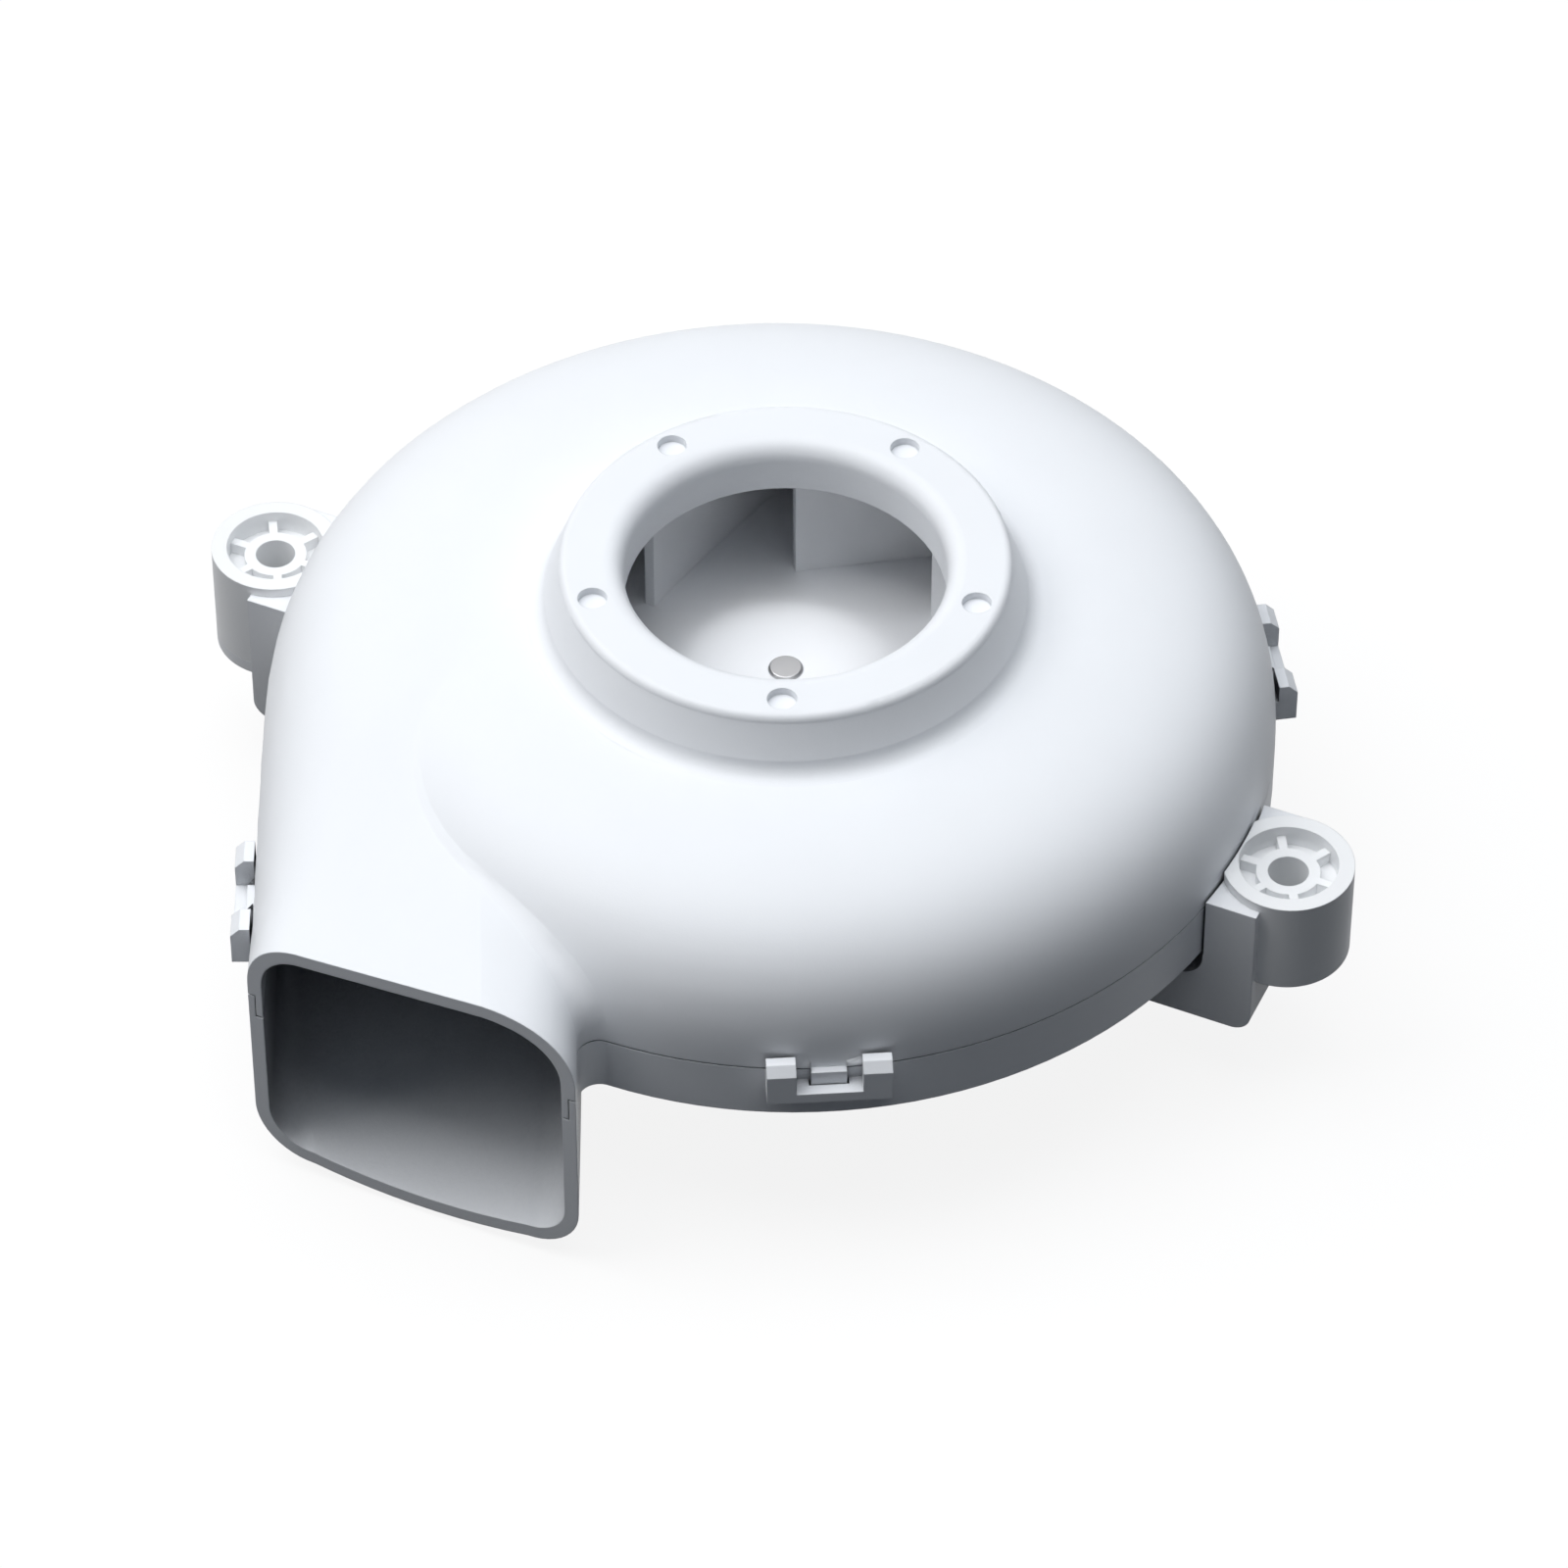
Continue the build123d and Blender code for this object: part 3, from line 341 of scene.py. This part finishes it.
lamination_steel = finish("lamination_steel", (0.3, 0.3, 0.32), 0.45, grain=0.35, depth=0.05,
                          Metallic=1.0)
natural_nylon = finish("natural_nylon", (0.72, 0.69, 0.58), 0.5)
enamelled_copper = finish("enamelled_copper", (0.62, 0.25, 0.11), 0.28, grain=0.3, depth=0.08,
                          Metallic=1.0)
layer(lamination_steel, SHEET_PITCH, "height")
layer(enamelled_copper, WIRE_PITCH, "radius")
wear(lamination_steel, "stator_core")
wear(natural_nylon, "upper_insulator", "lower_insulator")
wear(enamelled_copper, "stator_coils")

# Rotor: a pressed steel cup on the shaft, lined with a bonded magnet ring, with the brass washer
# and the sprung ring that hold the shaft in its bearings, and the impeller's brass insert.
cup_steel = finish("cup_steel", (0.55, 0.56, 0.57), 0.35, grain=0.4, Metallic=1.0)
magnet_grey = finish("magnet_grey", (0.05, 0.05, 0.055), 0.55, grain=0.2, depth=0.03)
ground_steel = finish("ground_steel", (0.56, 0.56, 0.57), 0.32, grain=0.1, depth=0.004, edge=0.15,
                      Metallic=1.0)
turned_brass = finish("turned_brass", (0.7, 0.5, 0.2), 0.3, grain=0.1, Metallic=1.0)
wear(cup_steel, "rotor_cup")
wear(magnet_grey, "rotor_magnet")
wear(ground_steel, "motor_shaft", "shaft_retainer")
wear(turned_brass, "shaft_washer", "impeller_insert")

# Circuit board under the motor base: green solder mask, black packages, and an ivory connector
# with five brass pins that reaches the cover's window.
solder_mask = finish("solder_mask", (0.02, 0.16, 0.06), 0.3, grain=0.6, depth=0.02,
                     Coat_Weight=0.4)
moulded_black = finish("moulded_black", (0.02, 0.02, 0.022), 0.5, grain=0.15)
ivory_nylon = finish("ivory_nylon", (0.8, 0.77, 0.66), 0.45)
pin_brass = finish("pin_brass", (0.75, 0.6, 0.3), 0.25, grain=0.1, Metallic=1.0)
wear(solder_mask, "circuit_board")
wear(moulded_black, "board_parts")
wear(ivory_nylon, "wire_connector")
wear(pin_brass, "connector_pins")

# Screws of zinc-plated steel hold the motor base, the cover, the brackets and the board. Each is
# cold-headed with a chamfered cheese head and a cross recess, and its shank is hidden in its boss.
# The sizes of the recess are shares of the head's.
SCREW_SIDES = 40
SCREW_SPACE = 6.5
HEAD_RIM = 0.9
HEAD_CHAMFER = 0.25
SHANK_LEAST = 0.2
SHANK_MOST = 0.8
RECESS_REACH = 0.62
RECESS_ARM = 0.16
RECESS_DEPTH = 0.55
REACH_TAPER = 0.72
ARM_TAPER = 0.8
zinc_plate = finish("zinc_plate", (0.62, 0.63, 0.66), 0.3, grain=0.2, edge=0.1, Metallic=1.0)


def ring(radius, height):
    """A circle of points at one height."""
    turns = [2 * math.pi * i / SCREW_SIDES for i in range(SCREW_SIDES)]
    return [Vector((radius * math.cos(turn), radius * math.sin(turn), height)) for turn in turns]


def cross(reach, arm, height):
    """The twelve corners of a cross at one height."""
    quarter = [(reach, -arm), (reach, arm), (arm, arm)]
    points = []
    for cos, sin in ((1, 0), (0, 1), (-1, 0), (0, -1)):
        points += [Vector((x * cos - y * sin, x * sin + y * cos, height)) for x, y in quarter]
    return points


def wall_between(count, start):
    """The faces of a wall between two rings of points, which follow each other from start on."""
    return [(start + i, start + (i + 1) % count, start + count + (i + 1) % count, start + count + i)
            for i in range(count)]


def screw(points, faces, place, head, shank, depth, length, turned):
    """Adds one screw: its head's crown is at height 0 and its shank runs up, or down if turned."""
    first = len(points)
    chamfer = HEAD_CHAMFER * MM
    outline = [ring(shank, length), ring(shank, depth), ring(head, depth), ring(head, chamfer),
               ring(head - chamfer, 0.0)]
    local = [point for circle in outline for point in circle]
    shapes = [tuple(range(SCREW_SIDES))]
    for i in range(len(outline) - 1):
        shapes += wall_between(SCREW_SIDES, i * SCREW_SIDES)
    crown = len(local) - SCREW_SIDES
    rim = local[crown:]
    mouth = cross(RECESS_REACH * head, RECESS_ARM * head, 0.0)
    base = cross(RECESS_REACH * REACH_TAPER * head, RECESS_ARM * head * ARM_TAPER,
                 RECESS_DEPTH * depth)
    local += mouth + base
    shapes += [tuple(crown + i for i in shape) for shape in tessellate_polygon([rim, mouth])]
    shapes += wall_between(len(mouth), crown + SCREW_SIDES)
    shapes.append(tuple(range(len(local) - len(base), len(local))))
    way = -1 if turned else 1
    points += [place + Vector((point.x, point.y, way * point.z)) for point in local]
    faces += [tuple(first + i for i in shape) for shape in shapes]


def screws_for(name):
    """Screws with recessed heads in the places of the plain ones of the CAD frame."""
    groups = []
    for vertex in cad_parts[name].data.vertices:
        for group in groups:
            if math.dist(group[0].xy, vertex.co.xy) < SCREW_SPACE * MM:
                group.append(vertex.co)
                break
        else:
            groups.append([vertex.co])
    points, faces = [], []
    for group in groups:
        low, high = min(p.z for p in group), max(p.z for p in group)
        middle = [(min(p[i] for p in group) + max(p[i] for p in group)) / 2 for i in (0, 1)]
        spread = [math.dist(p.xy, middle) for p in group]
        head = max(spread)
        wide = [p.z for p, out in zip(group, spread) if out > HEAD_RIM * head]
        narrow = [out for out in spread if SHANK_LEAST * head < out < SHANK_MOST * head]
        turned = sum(wide) / len(wide) > (low + high) / 2
        place = Vector((*middle, high if turned else low))
        depth = max(wide) - min(wide)
        screw(points, faces, place, head, max(narrow), depth, high - low, turned)
    data = bpy.data.meshes.new(name + "_headed")
    data.from_pydata(points, [], faces)
    shape = bmesh.new()
    shape.from_mesh(data)
    bmesh.ops.recalc_face_normals(shape, faces=shape.faces)
    shape.to_mesh(data)
    shape.free()
    data.materials.append(zinc_plate)
    piece = bpy.data.objects.new(name + "_headed", data)
    bpy.context.collection.objects.link(piece)
    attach(piece, "housing")
    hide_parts(name)


for screws in ("motor_screws", "cover_screws", "bracket_screws", "board_screws"):
    screws_for(screws)

# Motor cover: the flat lid of the motor's well, that the blower stands on. It is moulded in matte
# white plastic with slots for cooling air, and three screws hold it to the well.
cover_plastic = finish("cover_plastic", (0.8, 0.81, 0.83), 0.6, grain=0.4, depth=0.03)
wear(cover_plastic, "motor_cover")

# Impeller: one white moulding with a dished plate, a hub and eight backward-leaning blades. The
# brass insert in its hub sits on the end of the motor's shaft.
# The impeller's white is lighter than the shells' white, which paints in light on its blades and
# plate inside the inlet.
impeller_plastic = finish("impeller_plastic", (0.95, 0.962, 0.985), 0.4, Specular_IOR_Level=0.4)
wear(impeller_plastic, "impeller")

# Upper shell: the crowned half of the scroll with the inlet's collar and the duct's roof, in the
# same white plastic as the lower one. Its rim laps over the lower shell's, with a fine parting
# line, and its tongues snap into the brackets there.
UPPER_PAINTED_SHADE = 0.2
PARTING_LEVELS = (30.0, 34.0)
PARTING_GAP = 0.25
PARTING_BLEND = 0.6
TONGUES = ((-54.5, -63.7), (33.6, -60.8), (59.2, 39.9), (-33.2, 65.7), (-69.9, 25.2))
TONGUE_REACH = 4.5
TONGUE_TOP = 36.9
TONGUE_SLACK = 0.02
CROWN_TOP = 57.5
CROWN_SEAM = ((-38.822, -18.462), (-33.258, -15.984))
CROWN_STEP = 0.12
SEAM_SLACK = 0.003
SEAM_REST = 0.001
LEVEL_SLACK = 0.01
# The upper shell's colour has shade painted into it deep inside the scroll and the inlet's throat.
upper_plastic = finish("upper_plastic", HOUSING_WHITE, 0.45, painted_shade=UPPER_PAINTED_SHADE,
                       Specular_IOR_Level=0.3)


def recast(name, body, material, move):
    """A copy of a CAD piece that takes its place, with its points moved as the mould makes them."""
    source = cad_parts[name]
    piece = bpy.data.objects.new(name + "_moulding", source.data.copy())
    piece.matrix_world = source.matrix_world.copy()
    bpy.context.collection.objects.link(piece)
    for vertex in piece.data.vertices:
        move(vertex.co)
    piece.data.materials.clear()
    piece.data.materials.append(material)
    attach(piece, body)
    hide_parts(name)


def close_seam(point):
    """Lifts the foot of the fine step where the duct's roof runs into the crown of the scroll."""
    start, end = CROWN_SEAM
    place = (point.x / MM, point.y / MM)
    beside = math.dist(place, start) + math.dist(place, end) - math.dist(start, end)
    if beside < SEAM_SLACK and SEAM_REST < CROWN_TOP - point.z / MM < CROWN_STEP:
        point.z = (CROWN_TOP - SEAM_REST) * MM


def cut_tongues(point):
    """Lowers the tops of the snap tongues to the parting line."""
    for tongue in TONGUES:
        near = math.dist((point.x / MM, point.y / MM), tongue) < TONGUE_REACH
        if near and abs(point.z / MM - TONGUE_TOP) < TONGUE_SLACK:
            point.z = (PARTING_LEVELS[1] + PARTING_GAP) * MM


def open_parting(point):
    """Lifts the edges of the half-lap, which leaves its fine line."""
    for level in PARTING_LEVELS:
        above = point.z / MM - level
        if -LEVEL_SLACK < above < PARTING_BLEND:
            rest = above * (PARTING_BLEND - PARTING_GAP) / PARTING_BLEND
            point.z = (level + PARTING_GAP + rest) * MM


def mould_upper(point):
    """Closes the seam in the crown, cuts the tongues down and opens the parting line."""
    close_seam(point)
    cut_tongues(point)
    open_parting(point)


recast("top_shell", "housing", upper_plastic, mould_upper)

# Ears: the blower is mounted by two spoked bushes, each in the cradle of a bracket that is screwed
# under the floor. All four are moulded in white plastic, a little duller than the shells.
BRACKET_PAINTED_SHADE = 0.2
WEB_TOP = 30.25
WEB_FOOT = 28.05
WEB_RISE = 3.2
# The brackets' colour has shade painted into it in the gaps between them and the shell.
bracket_plastic = finish("bracket_plastic", (0.87, 0.885, 0.91), 0.5, painted_shade=BRACKET_PAINTED_SHADE,
                         Specular_IOR_Level=0.3)
bush_plastic = finish("bush_plastic", (0.9, 0.91, 0.92), 0.5, Specular_IOR_Level=0.3)
wear(bracket_plastic, "left_bracket", "right_bracket")


def thicken_web(point):
    """Brings the disc between a bush's rings up to the depth that its spokes stand in."""
    if abs(point.z / MM - WEB_TOP) < LEVEL_SLACK:
        point.z += WEB_RISE * MM
    elif abs(point.z / MM - WEB_FOOT) < LEVEL_SLACK:
        point.z -= WEB_RISE * MM


recast("left_bush", "housing", bush_plastic, thicken_web)
recast("right_bush", "housing", bush_plastic, thicken_web)
